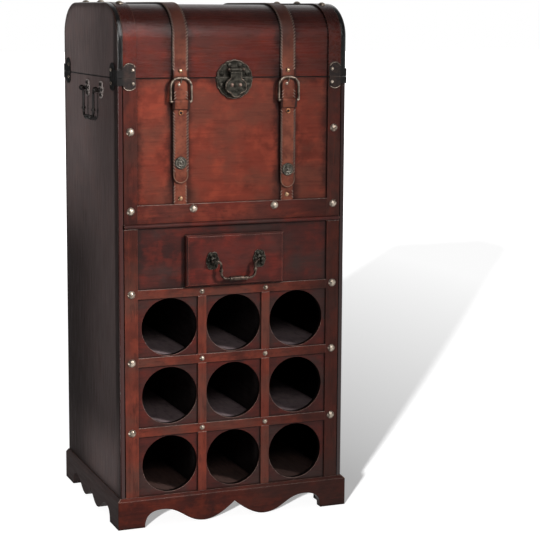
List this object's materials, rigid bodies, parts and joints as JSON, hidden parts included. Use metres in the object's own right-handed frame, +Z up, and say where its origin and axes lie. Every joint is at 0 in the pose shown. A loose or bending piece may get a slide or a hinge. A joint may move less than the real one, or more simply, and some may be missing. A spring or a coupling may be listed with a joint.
{
  "type": "wine cabinet",
  "caption": "Trunk-style wooden wine cabinet with a hinged arched lid, strap buckles, hasp, small drawer, round-hole bottle rack and scalloped plinth.",
  "frame": {"origin": "on the floor, at the middle of the whole footprint", "axes": "+Z up, -Y towards the front with the drawer and bottle holes, +X to the right as one faces it"},
  "size_m": [0.458, 0.3804, 0.9239],
  "materials": {
    "front_wood": "red-brown antique varnish, satin to gloss, dark burnished edges",
    "strip_wood": "orange-brown varnish with worn light edges",
    "side_wood": "dark brown satin varnish",
    "plinth_wood": "dark red-brown varnish with worn chamfer",
    "inner_wood": "black-brown stain, dull",
    "leather": "tan-brown leather with light whip stitches",
    "dark_iron": "antique black iron",
    "pewter": "aged pewter",
    "nail_metal": "worn nickel over brass",
    "hinge_steel": "dark bronzed steel"
  },
  "bodies": {
    "cabinet": {"trunk_front": "front_wood", "drawer_fascia": "front_wood", "rack_front_lower": "front_wood", "rack_front_middle": "front_wood", "rack_front_upper": "front_wood", "trunk_stiles": "strip_wood", "rack_stiles": "strip_wood", "trunk_bottom_rail": "strip_wood", "rack_rails": "strip_wood", "rack_battens": "strip_wood", "waist_moulding": "strip_wood", "left_side_panel": "side_wood", "right_side_panel": "side_wood", "back_panel": "side_wood", "plinth_front": "plinth_wood", "plinth_left": "plinth_wood", "plinth_right": "plinth_wood", "plinth_back": "plinth_wood", "trunk_floor": "inner_wood", "drawer_floor": "inner_wood", "rack_floor": "inner_wood", "rack_shelves": "inner_wood", "rack_dividers": "inner_wood", "plinth_corner_blocks": "inner_wood", "drawer_runners": "inner_wood", "lower_straps": "leather", "body_corner_plates": "dark_iron", "latch_lower_plate": "dark_iron", "side_handle_posts": "dark_iron", "large_dome_nails": "nail_metal", "small_dome_nails": "nail_metal", "hinge_body_leaves": "hinge_steel"},
    "lid": {"lid_shell": "front_wood", "lid_left_end": "side_wood", "lid_right_end": "side_wood", "lid_strips": "strip_wood", "left_lid_strap": "leather", "right_lid_strap": "leather", "lid_corner_plates": "dark_iron", "latch_upper_plate": "dark_iron", "hasp_pin": "dark_iron", "hinge_lid_leaves": "hinge_steel", "hinge_pins": "hinge_steel", "lid_strip_nails": "nail_metal"},
    "hasp": {"hasp_flap": "dark_iron", "hasp_studs": "dark_iron"},
    "left_tab": {"left_strap_tab": "leather", "left_buckle": "pewter", "left_concho": "pewter"},
    "right_tab": {"right_strap_tab": "leather", "right_buckle": "pewter", "right_concho": "pewter"},
    "drawer": {"drawer_front": "front_wood", "drawer_sides": "inner_wood", "drawer_back": "inner_wood", "drawer_bottom": "inner_wood", "drawer_handle_posts": "dark_iron"},
    "drawer_bail_body": {"drawer_bail": "dark_iron"},
    "left_bail_body": {"left_bail": "dark_iron"},
    "right_bail_body": {"right_bail": "dark_iron"}
  },
  "joints": [
    {"name": "lid_open", "type": "hinge", "parent": "cabinet", "child": "lid", "pos_m": [0, 0.1871, 0.7912], "axis": [-1, 0, 0], "range_deg": [0, 100]},
    {"name": "hasp_swing", "type": "hinge", "parent": "lid", "child": "hasp", "pos_m": [0, -0.1704, 0.805], "axis": [-1, 0, 0], "range_deg": [0, 110]},
    {"name": "left_tab_lift", "type": "hinge", "parent": "lid", "child": "left_tab", "pos_m": [-0.1, -0.16545, 0.7953], "axis": [-1, 0, 0], "range_deg": [0, 90]},
    {"name": "right_tab_lift", "type": "hinge", "parent": "lid", "child": "right_tab", "pos_m": [0.1, -0.16545, 0.7953], "axis": [-1, 0, 0], "range_deg": [0, 90]},
    {"name": "drawer_slide", "type": "slide", "parent": "cabinet", "child": "drawer", "axis": [0, -1, 0], "range_m": [0, 0.2]},
    {"name": "drawer_bail_swing", "type": "hinge", "parent": "drawer", "child": "drawer_bail_body", "pos_m": [0, -0.1852, 0.472], "axis": [-1, 0, 0], "range_deg": [0, 90]},
    {"name": "left_bail_swing", "type": "hinge", "parent": "cabinet", "child": "left_bail_body", "pos_m": [-0.224, -0.0229, 0.768], "axis": [0, 1, 0], "range_deg": [0, 90]},
    {"name": "right_bail_swing", "type": "hinge", "parent": "cabinet", "child": "right_bail_body", "pos_m": [0.224, -0.0229, 0.768], "axis": [0, -1, 0], "range_deg": [0, 90]}
  ]
}
